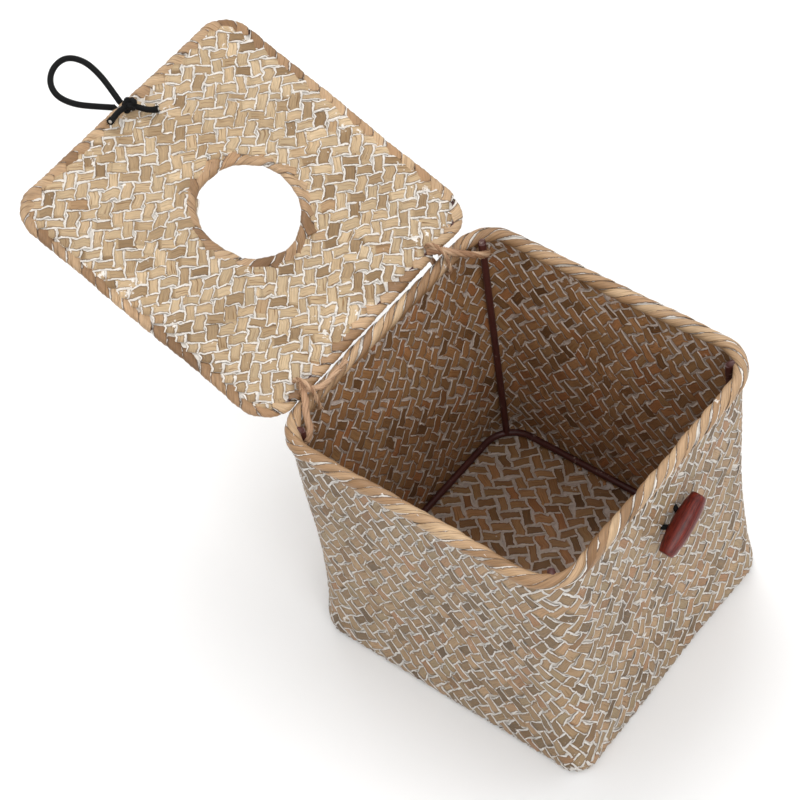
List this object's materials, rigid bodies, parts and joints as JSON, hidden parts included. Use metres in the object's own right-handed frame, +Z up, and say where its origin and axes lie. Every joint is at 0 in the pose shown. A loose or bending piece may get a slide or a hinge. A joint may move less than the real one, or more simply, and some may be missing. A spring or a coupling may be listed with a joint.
{
  "type": "lidded woven basket",
  "caption": "Small square whitewashed plaited seagrass basket, tied-on hinged lid with a round hole, black elastic loop and wooden toggle.",
  "frame": {"origin": "on the underside of the base, below the middle of the mouth", "axes": "+Z up out of the mouth, -Y towards the front wall with the toggle, +Y towards the lid's hinge, +X to the right seen from the front"},
  "size_m": [0.1728, 0.3739, 0.258],
  "materials": {
    "plaited_seagrass": "matte",
    "wound_seagrass": "matte",
    "dark_wire": "satin",
    "raffia_cord": "matte",
    "black_elastic": "matte",
    "stained_wood": "gloss"
  },
  "bodies": {
    "root": {"woven_body": "plaited_seagrass", "rim_binding": "wound_seagrass", "frame_top_ring": "dark_wire", "frame_bottom_ring": "dark_wire", "frame_upright_front_left": "dark_wire", "frame_upright_front_right": "dark_wire", "frame_upright_back_left": "dark_wire", "frame_upright_back_right": "dark_wire", "hinge_tie_left": "raffia_cord", "hinge_tie_right": "raffia_cord"},
    "lid": {"lid_panel": "plaited_seagrass", "lid_edge_binding": "wound_seagrass", "lid_edge_wire": "dark_wire", "lid_hole_binding": "wound_seagrass", "lid_hole_wire": "dark_wire", "closure_knot": "black_elastic"},
    "loop": {"closure_loop": "black_elastic"},
    "toggle": {"toggle": "stained_wood", "toggle_cord": "black_elastic", "toggle_knot": "black_elastic"}
  },
  "joints": [
    {"name": "lid_hinge", "type": "hinge", "parent": "root", "child": "lid", "pos_m": [0, 0.0853, 0.1728], "axis": [1, 0, 0], "range_deg": [0, 153.3]},
    {"name": "loop_swing", "type": "hinge", "parent": "lid", "child": "loop", "pos_m": [-0.0016, 0.24151, 0.241], "axis": [0.9998, 0.0176, 0.0082], "range_deg": [-30, 75], "stiffness_Nm_per_rad": 0.004},
    {"name": "toggle_swivel", "type": "hinge", "parent": "root", "child": "toggle", "pos_m": [0.0052, -0.092, 0.127], "axis": [0, 1, 0], "range_deg": [-90, 90]}
  ]
}
